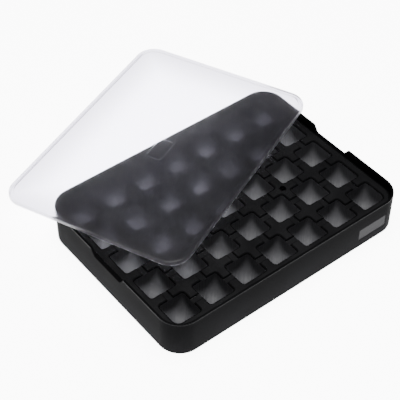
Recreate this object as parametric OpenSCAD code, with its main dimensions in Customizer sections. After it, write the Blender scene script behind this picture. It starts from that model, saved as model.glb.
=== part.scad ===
// Silicone ice cube tray with a loose frosted lid that leans askew across it.
// The origin is the middle of the tray's foot. X runs along the long rows of cells, Z is up.

/* [Cells] */
// Number of cells along the tray
cells_x = 7; // [3:1:9]
// Number of cells across the tray
cells_y = 5; // [3:1:6]
// Distance from one cell's middle to the next
pitch = 27.5; // [26.5:0.5:34]
// Width of a cell's square mouth
mouth_w = 20; // [16:0.5:21]
// Depth of a cell's floor below the deck
cell_depth = 17; // [13:0.5:19.5]
// Corner radius of a cell's mouth
mouth_corner = 2; // [1:0.25:4]
// Radius of the four corner cells' outermost corners
end_corner = 4.5; // [2:0.25:7]
// Depth at which the bowl of a cell begins to draw in
bowl_start = 2; // [0.5:0.5:8]
// Fullness of the bowl in section: 2 is half an ellipse, and less draws it to a point
bowl_power = 1.8; // [1.6:0.1:2.2]
// Thickness of a cell's wall and floor
cup_wall = 1.6; // [1.2:0.1:2.2]

/* [Deck] */
// Thickness of the deck that joins the cells
deck_t = 2.2; // [2:0.1:3]
// Deck between the end cells and the rim
border_x = 6.7; // [5:0.1:9]
// Deck between the side cells and the rim
border_y = 7.1; // [5:0.1:9]
// Width of the overflow slots across the partitions
slot_w = 4.4; // [3:0.1:6]
// Depth of the overflow slots
slot_depth = 1.1; // [0.6:0.1:1.4]
// Width of the groove round the deck, at the foot of the rim
groove_w = 1.3; // [0.8:0.1:2]
// Depth of that groove
groove_depth = 0.9; // [0.5:0.1:1.2]
// Radius of the deck's outer edge
deck_edge = 0.5; // [0.3:0.1:0.8]
// Diameter of the four vent holes through the deck
vent_d = 5; // [3:0.1:6]

/* [Rim and skirt] */
// Height of the deck above the foot
deck_z = 23.4; // [22.4:0.1:32]
// Height of the rim above the deck
rim_h = 6.3; // [5:0.1:9]
// Thickness of the rim and the skirt below it
wall = 1.8; // [1.6:0.1:2.6]
// Plan radius of the tray's outer corners
corner_r = 16.8; // [12:0.2:18]
// Radius of the skirt's lower edge
foot_edge = 1; // [0.6:0.1:1.2]
// Radius of the rim's upper edges
rim_edge = 0.7; // [0.4:0.1:0.8]
// Length of a finger notch at its bottom
notch_low = 27; // [18:1:32]
// Length of a finger notch at the rim's top
notch_top = 39; // [34:1:50]
// Height of a notch's bottom above the deck
notch_rise = 1; // [0.6:0.1:2]

/* [Lid] */
// Gap between the closed lid's edge and the rim
lid_gap = 0.2; // [0.1:0.05:0.8]
// Thickness of the lid's sheet
lid_t = 2.8; // [1.8:0.1:3.4]
// Height of the lid's edge below its sheet
lid_drop = 1; // [0.6:0.1:2]
// Thickness of the lid's edge
lid_wall = 1.3; // [1:0.1:1.6]
// Radius of the lid's upper edge
lid_edge = 1.2; // [0.8:0.1:1.4]
// Turn of the lid from the tray's long side
lid_turn = 22.5; // [20:0.1:24]
// How far the lid's middle lies to the left
lid_left = 4.7; // [2:0.1:8]
// How far the lid's middle lies in front of the far rim's inside
lid_front = 4.5; // [3:0.1:8]

/* [Hidden] */
$fn = 64;

rest_gap = 0.05;        // air left where the leaning lid meets the rim
past = 1;               // how far a cut runs on past the face that it opens
notch_over = 0.4;       // how far the slopes of a notch run on above the rim
bowl_clear = 0.3;       // how far outside a cell's corners its bowl begins
arc_steps = 5;          // straight steps in a small rounded edge
mouth_steps = 3;        // straight steps round a corner of a cell
bowl_steps = 9;         // bands in the bowl of a cell
cup_steps = 6;          // bands in the underside of a cup
notch_steps = 8;        // straight steps in a slope of a notch

field_x = (cells_x - 1) * pitch + mouth_w;
field_y = (cells_y - 1) * pitch + mouth_w;
inside_x = field_x + 2 * border_x;
inside_y = field_y + 2 * border_y;
outside_x = inside_x + 2 * wall;
outside_y = inside_y + 2 * wall;
inside_r = corner_r - wall;
rim_z = deck_z + rim_h;

lid_x = inside_x - 2 * lid_gap;
lid_y = inside_y - 2 * lid_gap;
lid_r = inside_r - lid_gap;
lid_h = lid_drop + lid_t;

// Outlines in section: each point is [how far in from the side, height]

// A quarter round, from the angle a to the angle b, about a middle set in by m and up by z
function round_edge(m, z, r, a, b, n = arc_steps) =
    [for (i = [0:n]) let (t = a + (b - a) * i / n) [m - r * cos(t), z + r * sin(t)]];

body_side = concat(round_edge(foot_edge, foot_edge, foot_edge, -90, 0),
                   round_edge(rim_edge, rim_z - rim_edge, rim_edge, 0, 90));

recess_side = concat([[0, deck_z - groove_depth]],
                     round_edge(-rim_edge, rim_z - rim_edge, rim_edge, 180, 90),
                     [[-rim_edge, rim_z + past]]);

deck_side = concat([[groove_w, deck_z - deck_t]],
                   round_edge(groove_w + deck_edge, deck_z - deck_edge, deck_edge, 0, 90));

lid_side = concat([[0, 0]], round_edge(lid_edge, lid_h - lid_edge, lid_edge, 0, 90));

// A slab l by w with corners of radius r in plan, whose sides follow an outline
module slab(l, w, r, side) {
    along = len(side) - 1;
    function across(width) = concat(
        [for (p = side) [width / 2 - p[0], p[1]]],
        [for (i = [along:-1:0]) [side[i][0] - width / 2, side[i][1]]]);
    translate([-(l / 2 - r), 0, 0]) rotate([90, 0, 90])
        linear_extrude(l - 2 * r) polygon(across(w));
    translate([0, w / 2 - r, 0]) rotate([90, 0, 0])
        linear_extrude(w - 2 * r) polygon(across(l));
    for (q = [[1, 1, 0], [-1, 1, 90], [-1, -1, 180], [1, -1, 270]])
        translate([q[0] * (l / 2 - r), q[1] * (w / 2 - r), 0]) rotate(q[2])
            rotate_extrude(angle = 90) polygon(concat(
                [[0, side[0][1]]],
                [for (p = side) [r - p[0], p[1]]],
                [[0, side[along][1]]]));
}

// A square of half width h whose corners have the radii r, one for each quarter
function soft_square(h, radii, n = mouth_steps) =
    [for (q = [0:3]) for (i = [0:n]) let (
        r = radii[q],
        t = 90 * (q + i / n),
        sx = (q == 0 || q == 3) ? 1 : -1,
        sy = q < 2 ? 1 : -1)
        [sx * (h - r) + r * cos(t), sy * (h - r) + r * sin(t)]];

// The form of a cell: a square shaft whose corners and floor round into a bowl. It is
// drawn below z = 0, and grows by a wall's thickness for the cup round the cell.
module cell_form(grow, top, bands) {
    half = mouth_w / 2 + grow;
    corner = mouth_corner + grow;
    radii = [for (q = [0:3]) q == $outermost ? end_corner + grow : corner];
    bowl_r = half * sqrt(2) - corner * (sqrt(2) - 1) + bowl_clear;
    bowl_h = cell_depth - bowl_start + grow;
    intersection() {
        translate([0, 0, -cell_depth - grow - past])
            linear_extrude(cell_depth + grow + past + top)
                polygon(soft_square(half, radii));
        rotate_extrude() polygon(concat(
            [[0, top + past], [bowl_r, top + past]],
            [for (i = [0:bands]) let (t = 90 * i / bands)
                [bowl_r * pow(cos(t), 2 / bowl_power),
                 -bowl_start - bowl_h * pow(sin(t), 2 / bowl_power)]]));
    }
}

// Which corner of a cell is a corner of the whole field: 0 to 3 anticlockwise, or none
function field_corner(i, j) =
    i > 0 && i < cells_x - 1 || j > 0 && j < cells_y - 1 ? -1
    : j > 0 ? (i > 0 ? 0 : 1) : (i > 0 ? 3 : 2);

module at_cells() {
    for (i = [0:cells_x - 1], j = [0:cells_y - 1]) let ($outermost = field_corner(i, j))
        translate([(i - (cells_x - 1) / 2) * pitch, (j - (cells_y - 1) / 2) * pitch, 0])
            children();
}

// The open space below the deck, round the hanging cups
module underside() {
    top = deck_z - deck_t;
    difference() {
        slab(inside_x, inside_y, inside_r, [[0, -past], [0, top]]);
        at_cells() translate([0, 0, deck_z]) cell_form(cup_wall, -deck_t / 2, cup_steps);
    }
}

// Overflow slots from cell to cell, one cut along each row
module slots() {
    reach_x = (cells_x - 1) * pitch;
    reach_y = (cells_y - 1) * pitch;
    for (j = [0:cells_y - 1])
        translate([-reach_x / 2, (j - (cells_y - 1) / 2) * pitch - slot_w / 2, deck_z - slot_depth])
            cube([reach_x, slot_w, slot_depth + past]);
    for (i = [0:cells_x - 1])
        translate([(i - (cells_x - 1) / 2) * pitch - slot_w / 2, -reach_y / 2, deck_z - slot_depth])
            cube([slot_w, reach_y, slot_depth + past]);
}

// Four round holes where partitions cross
module vents() {
    vent_x = pitch * (floor(cells_x / 4) + (cells_x % 2) / 2);
    vent_y = pitch * (cells_y % 2 == 1 ? 0.5 : 1);
    for (sx = [-1, 1], sy = [-1, 1])
        translate([sx * vent_x, sy * vent_y, deck_z - deck_t - past])
            cylinder(h = deck_t + 2 * past, d = vent_d);
}

// Dips in the two short rims, where fingers lift the lid
module notches() {
    low = deck_z + notch_rise;
    over = rim_z + notch_over;
    run = (notch_top - notch_low) / 2;
    slope = [for (i = [0:notch_steps]) let (t = i / notch_steps)
        [notch_low / 2 + run * t, low + (over - low) * (1 - cos(180 * t)) / 2]];
    outline = concat(slope, [for (i = [notch_steps:-1:0]) [-slope[i][0], slope[i][1]]]);
    for (s = [-1, 1])
        translate([s * (inside_x / 2 + wall / 2) - wall, 0, 0]) rotate([90, 0, 90])
            linear_extrude(2 * wall) polygon(outline);
}

module tray() color([0.16, 0.16, 0.17]) {
    difference() {
        union() {
            difference() {
                slab(outside_x, outside_y, corner_r, body_side);
                slab(inside_x, inside_y, inside_r, recess_side);
            }
            slab(inside_x, inside_y, inside_r, deck_side);
        }
        underside();
        at_cells() translate([0, 0, deck_z]) cell_form(0, past, bowl_steps);
        slots();
        vents();
        notches();
    }
}

// Where the leaning lid meets the tray, worked out from the lid's place.
// Its near edge crosses the right rim, its left edge crosses the left rim,
// and its sheet lies on the far rim.
lid_mid = [-lid_left, inside_y / 2 - lid_front];
rim_x = outside_x / 2;
near_y = lid_mid[1] + (rim_x - lid_mid[0]) * tan(lid_turn)
    - (lid_y / 2 - lid_wall) / cos(lid_turn);
left_t = (lid_mid[0] - (lid_x / 2 - lid_wall) * cos(lid_turn) + rim_x) / sin(lid_turn);
left_y = lid_mid[1] - (lid_x / 2 - lid_wall) * sin(lid_turn) + left_t * cos(lid_turn);
far_x = outside_x / 2 - corner_r;
far_y = outside_y / 2;
// Slopes of the lid's plane across and along the tray, and its height at its own middle
lean_y = -lid_drop / ((far_y - near_y) + (left_y - near_y) * (far_x - rim_x) / (2 * rim_x));
lean_x = lean_y * (left_y - near_y) / (2 * rim_x);
lid_z = rim_z + rest_gap + lean_x * (lid_mid[0] - rim_x) + lean_y * (lid_mid[1] - near_y);

module lid_flat() {
    difference() {
        slab(lid_x, lid_y, lid_r, lid_side);
        slab(lid_x - 2 * lid_wall, lid_y - 2 * lid_wall, lid_r - lid_wall,
             [[0, -past], [0, lid_drop]]);
    }
}

module lid() color([0.86, 0.86, 0.9, 0.5])
    translate([lid_mid[0], lid_mid[1], lid_z])
        rotate([atan(lean_y), -atan(lean_x), 0]) rotate(lid_turn) lid_flat();

tray();
lid();
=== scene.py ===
import math

import bmesh
import bpy
from mathutils import Matrix, Vector


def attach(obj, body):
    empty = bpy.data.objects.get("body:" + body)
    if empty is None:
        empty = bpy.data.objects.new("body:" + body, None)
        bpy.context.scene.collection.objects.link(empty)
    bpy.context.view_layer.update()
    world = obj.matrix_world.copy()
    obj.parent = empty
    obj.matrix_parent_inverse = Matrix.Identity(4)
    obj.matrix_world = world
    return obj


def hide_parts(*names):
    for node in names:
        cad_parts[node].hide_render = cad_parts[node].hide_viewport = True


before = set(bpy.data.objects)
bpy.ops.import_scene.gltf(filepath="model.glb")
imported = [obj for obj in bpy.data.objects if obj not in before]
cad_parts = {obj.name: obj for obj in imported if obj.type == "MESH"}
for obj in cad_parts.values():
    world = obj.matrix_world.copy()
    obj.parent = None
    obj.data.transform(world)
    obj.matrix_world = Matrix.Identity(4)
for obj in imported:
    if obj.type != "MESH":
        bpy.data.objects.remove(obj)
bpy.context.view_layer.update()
print("frame loaded:", sorted(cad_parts))

mm = 0.001
mergeWithin = 0.001     # points closer than this, in millimetres, become one
touching = 0.01         # a point this close to a face, in millimetres, counts as on it
levelAbove = 0.99999    # a face lies level when its normal's height is more than this
steepBelow = 0.98       # a slot's face is one of its sides when it is less than this
creaseAngle = 35        # edges sharper than this many degrees stay sharp


# Shader maths: a socket that can be used in Python expressions
class Shade:
    def __init__(self, tree, socket=None):
        self.tree = tree
        self.socket = socket

    def make(self, kind, settings=None, sockets=None, out=0):
        node = self.tree.nodes.new(kind)
        for name, value in (settings or {}).items():
            setattr(node, name, value)
        for key, value in (sockets or {}).items():
            if isinstance(value, Shade):
                self.tree.links.new(value.socket, node.inputs[key])
            else:
                node.inputs[key].default_value = value
        return Shade(self.tree, node.outputs[out])

    def maths(self, operation, *values):
        return self.make("ShaderNodeMath", {"operation": operation}, dict(enumerate(values)))

    def __add__(self, other):
        return self.maths("ADD", self, other)

    def __radd__(self, other):
        return self.maths("ADD", other, self)

    def __sub__(self, other):
        return self.maths("SUBTRACT", self, other)

    def __rsub__(self, other):
        return self.maths("SUBTRACT", other, self)

    def __mul__(self, other):
        return self.maths("MULTIPLY", self, other)

    def __rmul__(self, other):
        return self.maths("MULTIPLY", other, self)

    def __truediv__(self, other):
        return self.maths("DIVIDE", self, other)

    # A vector's own axes, by their letters
    def axes(self, letters):
        split = self.make("ShaderNodeSeparateXYZ", None, {"Vector": self}).socket.node
        return [Shade(self.tree, split.outputs[letter]) for letter in letters]

    def noise(self, scale, detail):
        return self.make("ShaderNodeTexNoise", None,
                         {"Vector": self, "Scale": scale, "Detail": detail})

    # 0 below low, 1 above high, and a soft step between
    def rise(self, low, high):
        return self.make("ShaderNodeMapRange", {"interpolation_type": "SMOOTHSTEP"},
                         {0: self, 1: low, 2: high, 3: 0.0, 4: 1.0})

    def blendColours(self, first, second):
        return self.make("ShaderNodeMix", {"data_type": "RGBA"},
                         {0: self, 6: first, 7: second}, out=2)


def newMaterial(name):
    material = bpy.data.materials.new(name)
    material.use_nodes = True
    tree = material.node_tree
    spot = Shade(tree).make("ShaderNodeTexCoord", out="Object")
    return material, tree.nodes["Principled BSDF"], spot


def feed(shader, name, value):
    if isinstance(value, Shade):
        value.tree.links.new(value.socket, shader.inputs[name])
    else:
        shader.inputs[name].default_value = value


# The point nearest to a spot in the rectangle between the middles of the rounded corners
def nearestInside(spot, alongX, alongY):
    return Vector((max(-alongX, min(alongX, spot.x)), max(-alongY, min(alongY, spot.y))))


# A ring of points follows a section: each step says how far in from the first
# outline the next ring lies, and at what height
def followSection(bm, edges, core, section):
    for inset, height in section:
        made = bmesh.ops.extrude_edge_only(bm, edges=edges)["geom"]
        edges = [g for g in made if isinstance(g, bmesh.types.BMEdge)]
        for v in (g for g in made if isinstance(g, bmesh.types.BMVert)):
            placeOnRing(v, core, inset, height)
    return edges


# core: half length and half width of the straight sides, and the corner radius
def placeOnRing(v, core, inset, height):
    alongX, alongY, radius = core
    inner = nearestInside(v.co, alongX, alongY)
    out = (v.co.xy - inner).normalized() * (radius - inset)
    v.co = Vector((inner.x + out.x, inner.y + out.y, height))


def startOutline(bm, core, steps):
    alongX, alongY, radius = core
    bmesh.ops.create_grid(bm, x_segments=1, y_segments=1, size=1.0)
    bmesh.ops.scale(bm, vec=(alongX + radius, alongY + radius, 1.0), verts=bm.verts)
    bmesh.ops.bevel(bm, geom=bm.verts[:], offset=radius, offset_type="OFFSET", affect="VERTICES",
                    segments=steps, profile=0.5, material=-1)
    edges = bm.edges[:]
    bmesh.ops.delete(bm, geom=bm.faces[:], context="FACES_ONLY")
    return edges


# A closed form with a rounded rectangle in plan and the given section all round
def ringForm(halfX, halfY, radius, section, steps):
    bm = bmesh.new()
    core = (halfX - radius, halfY - radius, radius)
    edges = startOutline(bm, core, steps)
    for v in bm.verts:
        placeOnRing(v, core, *section[0])
    first = edges[:]
    last = followSection(bm, edges, core, section[1:])
    bmesh.ops.contextual_create(bm, geom=first)
    bmesh.ops.contextual_create(bm, geom=last)
    return bm


# Points of a round edge between two angles, in a section of [inset, height]
def roundEdge(inset, height, radius, start, end, steps=4):
    turns = (math.radians(start + (end - start) * i / steps) for i in range(steps + 1))
    return [(inset - radius * math.cos(t), height + radius * math.sin(t)) for t in turns]


# finish: which of the piece's materials the faces get, upright: the same for steep faces
def meshFrom(name, bm, finish=0, upright=None):
    bmesh.ops.remove_doubles(bm, verts=bm.verts, dist=mergeWithin)
    bmesh.ops.recalc_face_normals(bm, faces=bm.faces)
    for face in bm.faces:
        steep = upright is not None and abs(face.normal.z) < steepBelow
        face.material_index = upright if steep else finish
    mesh = bpy.data.meshes.new(name)
    bm.to_mesh(mesh)
    bm.free()
    return mesh


# One mesh of a form repeated at several places
def repeatForm(name, bm, places, finish=0, upright=None):
    start = bm.verts[:] + bm.edges[:] + bm.faces[:]
    for place in places[1:]:
        made = bmesh.ops.duplicate(bm, geom=start)["geom"]
        verts = [g for g in made if isinstance(g, bmesh.types.BMVert)]
        bmesh.ops.translate(bm, vec=Vector(place), verts=verts)
    first = [g for g in start if isinstance(g, bmesh.types.BMVert)]
    bmesh.ops.translate(bm, vec=Vector(places[0]), verts=first)
    return meshFrom(name, bm, finish, upright)


def giveMaterials(mesh, materials):
    for material in materials[len(mesh.materials):]:
        mesh.materials.append(material)


def combine(mesh, tool, operation, materials):
    piece = bpy.data.objects.new("worked", mesh)
    cutter = bpy.data.objects.new("cutter", tool)
    for each in (piece, cutter):
        giveMaterials(each.data, materials)
        bpy.context.scene.collection.objects.link(each)
    change = piece.modifiers.new("cut", "BOOLEAN")
    change.object = cutter
    change.operation = operation
    change.solver = "EXACT"
    graph = bpy.context.evaluated_depsgraph_get()
    made = bpy.data.meshes.new_from_object(piece.evaluated_get(graph))
    for each in (piece, cutter):
        bpy.data.objects.remove(each)
    return made


# Level faces are shaded flat, so that the round edges beside them don't tilt their light
def finishPiece(name, mesh, materials, node):
    bm = bmesh.new()
    bm.from_mesh(mesh)
    bmesh.ops.scale(bm, vec=(mm, mm, mm), verts=bm.verts)
    bm.to_mesh(mesh)
    bm.free()
    mesh.name = name
    mesh.shade_smooth()
    for face in mesh.polygons:
        face.use_smooth = abs(face.normal.z) < levelAbove
    mesh.set_sharp_from_angle(angle=math.radians(creaseAngle))
    giveMaterials(mesh, materials)
    piece = bpy.data.objects.new(name, mesh)
    bpy.context.scene.collection.objects.link(piece)
    weights = piece.modifiers.new("flatFaces", "WEIGHTED_NORMAL")
    weights.keep_sharp = True
    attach(piece, "root")
    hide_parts(node)
    print(name, "made:", len(mesh.polygons), "faces")
    return piece


# The tray, in millimetres. Its sizes are the model's, but for mouthCorner, which is drawn sharper
# here. The lips, softening, the depth of the painted shade band under the mouths, slotFillet, the
# plate and the numbers of points and steps are the scene's own
tray = {
    "cellsX": 7, "cellsY": 5, "pitch": 27.5,
    "mouth": 20.0, "mouthCorner": 1.2, "endCorner": 4.5, "depth": 17.0, "cupWall": 1.6,
    "bowlStart": 2.0, "bowlPower": 1.8, "bowlClear": 0.3, "softening": 1.5,
    "lip": 1.1,         # radius of the rounded edge of a mouth
    # The band below each mouth, this many millimetres deep, gets the painted shade finish
    "paintedShadeBand": 1.1,   # how deep below the deck's top a cell is finished as in shade
    "outsideX": 202.0, "outsideY": 147.8, "corner": 16.8, "wall": 1.8,
    "deckZ": 23.4, "deckThick": 2.2, "rimZ": 29.7, "footEdge": 1.0, "rimEdge": 0.7,
    "grooveWide": 1.3, "grooveDeep": 0.9, "deckEdge": 0.5,
    "slotWide": 4.4, "slotDeep": 1.1, "slotLip": 0.7, "slotFillet": 0.3,
    "ventWide": 5.0, "ventPlace": (1.5, 0.5),   # the place is in pitches from the middle
    "notchLow": 27.0, "notchTop": 39.0, "notchRise": 1.0, "notchOver": 0.4,
    "plate": {"x": 72.6, "z": 12.4, "long": 25.5, "high": 10.0, "corner": 0.8, "deep": 0.25},
    "cutAbove": 1.5,    # how far the cells' and slots' cutters rise above the deck
    "cellPoints": 64, "cellRings": 22, "cupPoints": 32, "cupRings": 10,
    "cornerSteps": 16, "notchSteps": 14, "ventPoints": 40,
}


# Where the middles of the cells lie along one side of the field
def cellLines(count):
    return [(i - (count - 1) / 2) * tray["pitch"] for i in range(count)]


# Where the cells stand, in groups: those at a corner of the field, by quarter, and the rest
def cellGroups():
    lastX, lastY = tray["cellsX"] - 1, tray["cellsY"] - 1
    quarters = {(lastX, lastY): 0, (0, lastY): 1, (0, 0): 2, (lastX, 0): 3}
    groups = {}
    for i, x in enumerate(cellLines(tray["cellsX"])):
        for j, y in enumerate(cellLines(tray["cellsY"])):
            groups.setdefault(quarters.get((i, j), -1), []).append((x, y, tray["deckZ"]))
    return groups


# How far a soft square of half width half reaches in the direction of a turn
def squareReach(half, corner, turn):
    x, y = abs(math.cos(turn)), abs(math.sin(turn))
    if x < y:
        x, y = y, x
    straight = half / x
    if straight * y <= half - corner:
        return straight
    middle = half - corner
    along = middle * (x + y)
    return along + math.sqrt(along * along - 2 * middle * middle + corner * corner)


# The smaller of two lengths, with a soft change from one to the other
def softLess(first, second, blend):
    if blend <= 0:
        return min(first, second)
    share = max(0.0, blend - abs(first - second)) / blend
    return min(first, second) - share * share * blend / 4


# The levels of a cell's section, down from its top: how far the shaft flares there,
# the height below the deck, and how wide the bowl is
def cellLevels(lip, rings, bowlWide, bowlDeep):
    levels = [(0.0, -tray["deckThick"] / 2, bowlWide)]
    if lip:
        levels = [(lip, tray["cutAbove"], bowlWide)]
        levels += [(flare, height, bowlWide)
                   for flare, height in roundEdge(lip, -lip, lip, 90, 0, steps=5)]
    for step in range(rings):
        t = math.pi / 2 * step / rings
        height = -tray["bowlStart"] - bowlDeep * math.sin(t) ** (2 / tray["bowlPower"])
        levels.append((0.0, height, bowlWide * math.cos(t) ** (2 / tray["bowlPower"])))
    return levels


# A cell or the cup round it: a square shaft whose corners and floor round into a bowl
def cellForm(grow, lip, points, rings, outermost):
    half = tray["mouth"] / 2 + grow
    corner = tray["mouthCorner"] + grow
    bowlWide = half * math.sqrt(2) - corner * (math.sqrt(2) - 1) + tray["bowlClear"]
    bowlDeep = tray["depth"] - tray["bowlStart"] + grow
    bm = bmesh.new()
    bmesh.ops.create_circle(bm, segments=points, radius=half,
                            matrix=Matrix.Rotation(math.pi / points, 4, "Z"))
    rim = edges = bm.edges[:]
    verts = bm.verts[:]
    for step, (flare, height, bowl) in enumerate(cellLevels(lip, rings, bowlWide, bowlDeep)):
        if step:
            made = bmesh.ops.extrude_edge_only(bm, edges=edges)["geom"]
            edges = [g for g in made if isinstance(g, bmesh.types.BMEdge)]
            verts = [g for g in made if isinstance(g, bmesh.types.BMVert)]
        for v in verts:
            turn = math.atan2(v.co.y, v.co.x) % (2 * math.pi)
            isOutermost = int(turn // (math.pi / 2)) == outermost
            rounding = tray["endCorner"] + grow if isOutermost else corner
            shaft = squareReach(half + flare, rounding + flare, turn)
            reach = softLess(shaft, bowl + flare, tray["softening"])
            v.co = Vector((reach * math.cos(turn), reach * math.sin(turn), height))
    bmesh.ops.contextual_create(bm, geom=rim)
    floor = bmesh.ops.contextual_create(bm, geom=edges)["faces"]
    for v in bmesh.ops.poke(bm, faces=floor)["verts"]:
        v.co.z = -tray["bowlStart"] - bowlDeep
    return bm


def cellField(name, grow, lip, points, rings):
    joined = bmesh.new()
    for quarter, places in cellGroups().items():
        joined.from_mesh(repeatForm(name, cellForm(grow, lip, points, rings, quarter), places))
    field = meshFrom(name, joined)
    # Lips and a band just under the deck get the painted shade finish; lower faces get the cells'
    # finish, which is painted paler as painted light
    for face in field.polygons:
        low = face.center.z < tray["deckZ"] - tray["paintedShadeBand"]
        face.material_index = finishes.index("cell" if low else "paintedShade")
    return field


# Overflow slots side by side; their flat floors are finished as the deck, and their sides get the
# painted shade finish, a dark colour standing in for shade
def slotForms(name, halfX, halfY, places):
    deep, lip, fillet = tray["slotDeep"], tray["slotLip"], tray["slotFillet"]
    section = roundEdge(fillet, fillet - deep, fillet, -90, 0)
    section += roundEdge(-lip, -lip, lip, 180, 90, steps=3)
    section.append((-lip, tray["cutAbove"]))
    slot = ringForm(halfX, halfY, 0.5, section, steps=2)
    return repeatForm(name, slot, places, finishes.index("deck"), finishes.index("paintedShade"))


# How far a point lies in from the tray's outline
def insetOf(spot):
    alongX, alongY = (tray[side] / 2 - tray["corner"] for side in ("outsideX", "outsideY"))
    return tray["corner"] - (spot.xy - nearestInside(spot, alongX, alongY)).length


# What a face of the body is finished as, by its place: the rim's top, its rounded outer edge, the
# walls, the line they stand on, the groove along the deck, and the deck. The rim's top and inner
# face, the foot's rounding and the groove get the painted shade finish, a dark colour standing in
# for the shade there
def bodyFinish(inset, height):
    near = 0.1          # how far from a level a face may lie and still belong to it
    edgeShare = 0.8     # how much of the rim's outer rounding is finished as its edge
    footShare = 0.9     # how much of the foot's rounding is in shade
    if inset < tray["wall"] - near and height > tray["rimZ"] - tray["rimEdge"]:
        return "edge" if inset < tray["rimEdge"] * edgeShare else "paintedShade"
    # The foot's rounding is painted dark: painted shade where the tray meets the floor
    if height < tray["footEdge"] * footShare:
        return "paintedShade"
    if inset < tray["wall"] / 2 or height < tray["deckZ"] - tray["deckThick"] + near:
        return "outside"
    inGroove = height < tray["deckZ"] - tray["grooveDeep"] / 2
    return "paintedShade" if inGroove or height > tray["deckZ"] + near else "deck"


# The finger notches: the rim's rounded top dips in the middle of both short sides
def cutNotches(bm):
    low, high, rimZ = tray["notchLow"] / 2, tray["notchTop"] / 2, tray["rimZ"]
    bottom, over = tray["deckZ"] + tray["notchRise"], rimZ + tray["notchOver"]
    steps = tray["notchSteps"]
    slope = [low + (high - low) * step / steps for step in range(steps + 1)]
    for y in slope + [-y for y in slope]:
        bmesh.ops.bisect_plane(bm, geom=bm.verts[:] + bm.edges[:] + bm.faces[:],
                               plane_co=(0, y, 0), plane_no=(0, 1, 0))
    insideX = tray["outsideX"] / 2 - tray["wall"] - touching
    roundZ = rimZ - tray["rimEdge"] - touching
    for v in bm.verts:
        if abs(v.co.x) > insideX and v.co.z > roundZ:
            along = max(0.0, min(1.0, (abs(v.co.y) - low) / (high - low)))
            top = min(rimZ, bottom + (over - bottom) * (1 - math.cos(math.pi * along)) / 2)
            v.co.z -= rimZ - top


# The skirt, the rim, the groove and the deck, before anything is cut out of them
def trayBody():
    wall, deckZ, rimZ = tray["wall"], tray["deckZ"], tray["rimZ"]
    rimEdge, footEdge, deckEdge = tray["rimEdge"], tray["footEdge"], tray["deckEdge"]
    groove = deckZ - tray["grooveDeep"]
    inner = wall + tray["grooveWide"]
    section = [(wall, deckZ - tray["deckThick"]), (wall, 0.0)]
    section += roundEdge(footEdge, footEdge, footEdge, -90, 0)
    section += roundEdge(rimEdge, rimZ - rimEdge, rimEdge, 0, 90)
    section += roundEdge(wall - rimEdge, rimZ - rimEdge, rimEdge, 90, 180)
    section += [(wall, groove), (inner, groove)]
    section += roundEdge(inner + deckEdge, deckZ - deckEdge, deckEdge, 0, 90)
    body = ringForm(tray["outsideX"] / 2, tray["outsideY"] / 2, tray["corner"], section,
                    tray["cornerSteps"])
    cutNotches(body)
    shape = meshFrom("body", body)
    for face in shape.polygons:
        face.material_index = finishes.index(bodyFinish(insetOf(face.center), face.center.z))
    return shape


def buildTray():
    linesX, linesY = cellLines(tray["cellsX"]), cellLines(tray["cellsY"])
    rows = [(0.0, y, tray["deckZ"]) for y in linesY]
    files = [(x, 0.0, tray["deckZ"]) for x in linesX]
    wide = tray["slotWide"] / 2
    cups = cellField("cups", tray["cupWall"], 0, tray["cupPoints"], tray["cupRings"])
    cells = cellField("cells", 0, tray["lip"], tray["cellPoints"], tray["cellRings"])
    changes = [
        (slotForms("rowSlots", linesX[-1], wide, rows), "DIFFERENCE"),
        (slotForms("fileSlots", wide, linesY[-1], files), "DIFFERENCE"),
        (cups, "UNION"),
        (cells, "DIFFERENCE"),
        (ventForms(), "DIFFERENCE"),
        (plateForm(), "DIFFERENCE"),
    ]
    shape = trayBody()
    for tool, operation in changes:
        shape = combine(shape, tool, operation, trayMaterials)
    return shape


# Four round holes where partitions cross, with the painted shade finish on their walls
def ventForms():
    bm = bmesh.new()
    bmesh.ops.create_cone(bm, cap_ends=True, segments=tray["ventPoints"],
                          radius1=tray["ventWide"] / 2, radius2=tray["ventWide"] / 2,
                          depth=2 * tray["deckThick"])
    alongX, alongY = (pitches * tray["pitch"] for pitches in tray["ventPlace"])
    places = [(x, y, tray["deckZ"] - tray["deckThick"] / 2)
              for x in (-alongX, alongX) for y in (-alongY, alongY)]
    return repeatForm("vents", bm, places, finishes.index("paintedShade"))


# A bare plate let into the long wall
def plateForm():
    plate = tray["plate"]
    outwards = 2.0      # how far the cutter stands out of the wall
    bm = ringForm(plate["long"] / 2, plate["high"] / 2, plate["corner"],
                  [(0.0, 0.0), (0.0, outwards)], steps=4)
    bmesh.ops.rotate(bm, cent=(0, 0, 0), matrix=Matrix.Rotation(math.radians(90), 3, "X"),
                     verts=bm.verts)
    bmesh.ops.translate(bm, vec=(plate["x"], plate["deep"] - tray["outsideY"] / 2, plate["z"]),
                        verts=bm.verts)
    return meshFrom("plate", bm, finishes.index("plate"))


# The last number says how many times paler the finish is painted down at the foot: a painted
# reflection of the glowing floor on the walls
siliconeLook = {
    "deck": {"colour": 0.004, "roughness": 0.25, "bending": 1.22, "streaks": 0.0, "foot": 1.0},
    # The cells' finish is eight times paler than the deck's: painted light standing in for the
    # sheen their bowls catch, while the lamp still shades them
    "cell": {"colour": 0.032, "roughness": 0.5, "bending": 1.26, "streaks": 9.0, "foot": 1.0},
    "plate": {"colour": 0.01, "roughness": 0.45, "bending": 1.07, "streaks": 0.0, "foot": 1.0},
    "outside": {"colour": 0.0018, "roughness": 0.5, "bending": 1.025, "streaks": 0.0, "foot": 2.4},
    "edge": {"colour": 0.002, "roughness": 0.3, "bending": 1.13, "streaks": 0.0, "foot": 1.0},
    # Painted shade: a near black finish standing in for the shade on lips, slot sides, vents, the
    # groove, the rim's top and inner face and the foot's rounding
    "paintedShade": {"colour": 0.002, "roughness": 0.6, "bending": 1.05, "streaks": 0.0, "foot": 1.0},
}
finishes = list(siliconeLook)

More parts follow.
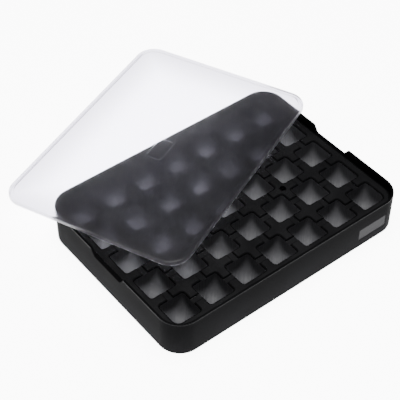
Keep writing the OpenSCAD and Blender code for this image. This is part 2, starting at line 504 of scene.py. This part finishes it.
# Noise scales are per metre, and heights are in metres
siliconeSkin = {
    "grain": 2600.0, "grainHeight": 0.12, "bump": 0.00005,
    "cloud": 45.0, "cloudTints": (0.8, 1.2), "cloudRoughness": 0.04, "blue": 1.08,
    "streaks": 900.0, "streakLean": 0.02,
    # The painted reflection of the floor is full below the first of these heights and gone above
    # the second
    "paintedBounceFullBelow": 0.001, "paintedBounceGoneAbove": 0.027,
}


# Moulded silicone: a fine grain, a faint cloudiness, drawn lines inside the cells, and a painted
# reflection of the floor that makes the walls paler towards their foot
def siliconeMaterial(name, look):
    skin = siliconeSkin
    material, shader, spot = newMaterial(name)
    x, y, z = spot.axes("XYZ")
    height = spot.noise(skin["grain"], 3.0) * skin["grainHeight"]
    if look["streaks"]:
        across = spot.make("ShaderNodeCombineXYZ", None, {"X": x - y, "Z": z * skin["streakLean"]})
        height = height + across.noise(skin["streaks"], 2.0) * look["streaks"]
    bump = spot.make("ShaderNodeBump", None,
                     {"Height": height, "Strength": 1.0, "Distance": skin["bump"]})
    level = spot.noise(skin["cloud"], 4.0).rise(0.3, 0.7)
    mixes = []
    for share in (look["foot"], 1.0):
        greys = (look["colour"] * (tint * share) for tint in skin["cloudTints"])
        dark, pale = ((grey, grey, grey * skin["blue"], 1.0) for grey in greys)
        mixes.append(level.blendColours(dark, pale))
    swing = skin["cloudRoughness"]
    # Painted reflection of the glowing floor: the colour pales towards the foot
    paintedBounceFade = z.rise(skin["paintedBounceFullBelow"], skin["paintedBounceGoneAbove"])
    feed(shader, "Base Color", paintedBounceFade.blendColours(*mixes))
    feed(shader, "Roughness", look["roughness"] - swing + level * (2 * swing))
    feed(shader, "IOR", look["bending"])
    feed(shader, "Normal", bump)
    return material


# The lid, in millimetres, and how it leans on the rim. Its border, dish, chamfer and panel
# are the scene's own, and the other sizes are the model's
lid = {
    "long": 198.0, "wide": 143.8, "corner": 14.8, "edgeDrop": 1.0, "sheet": 2.8, "edgeWall": 1.3,
    "topEdge": 1.2, "turn": 22.5, "left": 4.7, "front": 4.5, "restGap": 0.05,
    "chamfer": 0.3,     # at the foot of the edge
    "border": 3.8,      # width of the raised border
    "dish": 0.7,        # how far the sheet lies below the border
    "ease": 0.2, "easeDrop": 0.06,      # the softness of the step between them
    "cornerSteps": 14, "edgeSteps": 6,
    "panel": {
        "along": -4.0, "across": -1.0, "long": 22.0, "wide": 13.0, "corner": 2.5,
        "raised": 0.35, "frame": 1.05, "bevel": 0.15, "floor": 0.02, "rooted": 0.5,
    },
}

lidLook = {
    # rim is the colour that the painted shade reaches at the lid's edge
    "sheet": {"colour": (0.64, 0.63, 0.725, 1.0), "rim": (0.37, 0.36, 0.42, 1.0),
              "roughness": 0.34, "bending": 1.2, "clear": 0.997},
    # The lid's steep edge faces are painted darker: painted shade along the lid's edge
    "edge": {"colour": (0.34, 0.33, 0.38, 1.0), "rim": (0.34, 0.33, 0.38, 1.0),
             "roughness": 0.34, "bending": 1.26, "clear": 0.985},
}

# The haze in the plastic: a noise scale per metre, how much it changes the roughness, and how far
# in from the lid's edge, in metres, painted shade darkens the sheet
lidHaze = {"cloud": 22.0, "roughness": 0.03, "paintedShadeReach": 0.035}


def buildLid():
    edgeWall, edgeDrop, topEdge = lid["edgeWall"], lid["edgeDrop"], lid["topEdge"]
    chamfer, border, dish = lid["chamfer"], lid["border"], lid["dish"]
    ease, easeDrop = lid["ease"], lid["easeDrop"]
    high = edgeDrop + lid["sheet"]
    section = [(edgeWall, edgeDrop), (edgeWall, chamfer), (edgeWall - chamfer, 0.0)]
    section += [(chamfer, 0.0), (0.0, chamfer)]
    section += roundEdge(topEdge, high - topEdge, topEdge, 0, 90, lid["edgeSteps"])
    section += [(border - 2 * ease, high), (border - ease, high - easeDrop)]
    section += [(border, high - dish / 2), (border + ease, high - dish + easeDrop)]
    section.append((border + 2.5 * ease, high - dish))
    shape = meshFrom("lid", ringForm(lid["long"] / 2, lid["wide"] / 2, lid["corner"], section,
                                     lid["cornerSteps"]))
    levelEnough = 0.95
    # Steep faces take the edge's darker colour, painted shade
    for face in shape.polygons:
        face.material_index = 0 if abs(face.normal.z) > levelEnough else 1
    shape = combine(shape, meshFrom("panel", panelForm(high - dish)), "UNION", lidMaterials)
    shape.transform(lidPlace())
    return shape


# A plain raised frame on the lid's sheet, whose top lies at the height given
def panelForm(top):
    panel = lid["panel"]
    raised, frameWide, bevel = top + panel["raised"], panel["frame"], panel["bevel"]
    section = [(0.0, top - panel["rooted"]), (0.0, raised - bevel), (bevel, raised)]
    section += [(frameWide - bevel, raised), (frameWide, raised - bevel)]
    section.append((frameWide, top + panel["floor"]))
    bm = ringForm(panel["long"] / 2, panel["wide"] / 2, panel["corner"], section, steps=5)
    bmesh.ops.translate(bm, vec=(panel["along"], panel["across"], 0), verts=bm.verts)
    return bm


# The lid leans on three places of the rim, worked out as the model does: its near edge
# crosses the right rim, its left edge crosses the left rim, its sheet lies on the far rim
def lidPlace():
    turn = math.radians(lid["turn"])
    midX, midY = -lid["left"], tray["outsideY"] / 2 - tray["wall"] - lid["front"]
    rimX, farY = tray["outsideX"] / 2, tray["outsideY"] / 2
    reach = lid["wide"] / 2 - lid["edgeWall"]
    nearY = midY + (rimX - midX) * math.tan(turn) - reach / math.cos(turn)
    reach = lid["long"] / 2 - lid["edgeWall"]
    along = (midX - reach * math.cos(turn) + rimX) / math.sin(turn)
    leftY = midY - reach * math.sin(turn) + along * math.cos(turn)
    farX = rimX - tray["corner"]
    leanY = -lid["edgeDrop"] / ((farY - nearY) + (leftY - nearY) * (farX - rimX) / (2 * rimX))
    leanX = leanY * (leftY - nearY) / (2 * rimX)
    height = tray["rimZ"] + lid["restGap"] + leanX * (midX - rimX) + leanY * (midY - nearY)
    tilt = (Matrix.Rotation(-math.atan(leanX), 4, "Y")
            @ Matrix.Rotation(math.atan(leanY), 4, "X"))
    return Matrix.Translation((midX, midY, height)) @ tilt @ Matrix.Rotation(turn, 4, "Z")


# Frosted plastic with a little haze, and painted shade that darkens it towards the lid's edge
def frostedMaterial(name, look):
    material, shader, spot = newMaterial(name)
    middle = lidPlace().translation * mm
    turned = spot.make("ShaderNodeVectorRotate", {"rotation_type": "Z_AXIS"},
                       {"Vector": spot, "Center": middle, "Angle": -math.radians(lid["turn"])})
    fromMiddle = spot.make("ShaderNodeVectorMath", {"operation": "SUBTRACT"},
                           {0: turned, 1: middle})
    along, across = fromMiddle.axes("XY")
    fromEdge = spot.maths("MAXIMUM", spot.maths("ABSOLUTE", along) - lid["long"] / 2 * mm,
                          spot.maths("ABSOLUTE", across) - lid["wide"] / 2 * mm)
    paintedEdgeShade = fromEdge.rise(-lidHaze["paintedShadeReach"], 0.0)
    level = spot.noise(lidHaze["cloud"], 3.0).rise(0.3, 0.7)
    swing = lidHaze["roughness"]
    feed(shader, "Base Color", paintedEdgeShade.blendColours(look["colour"], look["rim"]))
    feed(shader, "Roughness", look["roughness"] - swing + level * (2 * swing))
    feed(shader, "Transmission Weight", look["clear"])
    feed(shader, "IOR", look["bending"])
    return material


trayMaterials = [siliconeMaterial(part + "Silicone", look) for part, look in siliconeLook.items()]
lidMaterials = [frostedMaterial("lid" + part.title(), look) for part, look in lidLook.items()]
finishPiece("trayMoulding", buildTray(), trayMaterials, "tray")
# The lamp's light passes the clear lid, so the cells under it are lit as the others are
lidSheet = finishPiece("lidSheet", buildLid(), lidMaterials, "lid")
lidSheet.visible_shadow = False


# The floor, the light and the camera: places in millimetres, sizes in metres
studio = {
    "floor": (0.8, 0.8, 0.8, 1.0), "floorHalf": 4.0, "floorRoughness": 0.8, "floorShine": 0.1,
    "floorGlow": 8.8,
    # Painted shadow: the floor doesn't glow under the tray, over this half length and width
    "paintedShadowBelow": (0.1, 0.073),      # half the length and width of what lies under the tray
    "sky": 0.1,
    "lamps": {
        "overhead": {"place": (-30.0, -38.0, 900.0), "size": (0.6, 0.6), "power": 24.0},
        "behind": {"place": (568.0, 715.0, 926.0), "size": (1.0, 1.0), "power": 0.1},
    },
    "cameraPlace": (-365.5, -431.2, 599.2),
    "cameraAim": (-12.0, 13.4, 23.4),
    "cameraRoll": 0.25,
    "lens": 103.7, "sensor": 36.0, "nearest": 0.01,
}


# The floor glows as a white sweep, apart from a painted shadow where the tray stands, which keeps
# the space under the tray dark
def buildFloor():
    bm = bmesh.new()
    bmesh.ops.create_grid(bm, x_segments=1, y_segments=1, size=studio["floorHalf"])
    mesh = bpy.data.meshes.new("floor")
    bm.to_mesh(mesh)
    bm.free()
    material, shader, spot = newMaterial("paleFloor")
    feed(shader, "Base Color", studio["floor"])
    feed(shader, "Roughness", studio["floorRoughness"])
    feed(shader, "Specular IOR Level", studio["floorShine"])
    x, y = spot.axes("XY")
    shadowX, shadowY = studio["paintedShadowBelow"]
    glowOutsideShadow = (x * x * x * x / shadowX ** 4 + y * y * y * y / shadowY ** 4).rise(0.98, 1.0)
    feed(shader, "Emission Color", glowOutsideShadow.blendColours((0.0, 0.0, 0.0, 1.0), (1.0, 1.0, 1.0, 1.0)))
    feed(shader, "Emission Strength", studio["floorGlow"])
    mesh.materials.append(material)
    floor = bpy.data.objects.new("floor", mesh)
    bpy.context.scene.collection.objects.link(floor)


def lightScene():
    world = bpy.data.worlds.new("studioSky")
    world.use_nodes = True
    background = world.node_tree.nodes["Background"]
    background.inputs["Color"].default_value = (1.0, 1.0, 1.0, 1.0)
    background.inputs["Strength"].default_value = studio["sky"]
    bpy.context.scene.world = world
    for name, lamp in studio["lamps"].items():
        light = bpy.data.lights.new(name, "AREA")
        light.energy = lamp["power"]
        light.shape = "RECTANGLE"
        light.size, light.size_y = lamp["size"]
        softbox = bpy.data.objects.new(name, light)
        softbox.location = Vector(lamp["place"]) * mm
        softbox.rotation_euler = (-softbox.location).to_track_quat("-Z", "Y").to_euler()
        bpy.context.scene.collection.objects.link(softbox)


def placeCamera():
    camera = bpy.data.objects.new("camera", bpy.data.cameras.new("camera"))
    place = Vector(studio["cameraPlace"]) * mm
    look = Vector(studio["cameraAim"]) * mm - place
    turn = look.to_track_quat("-Z", "Y").to_matrix().to_4x4()
    roll = Matrix.Rotation(math.radians(studio["cameraRoll"]), 4, "Z")
    camera.matrix_world = Matrix.Translation(place) @ turn @ roll
    camera.data.lens = studio["lens"]
    camera.data.sensor_width = studio["sensor"]
    camera.data.clip_start = studio["nearest"]
    bpy.context.scene.collection.objects.link(camera)
    bpy.context.scene.camera = camera


buildFloor()
lightScene()
placeCamera()
print("studio ready")
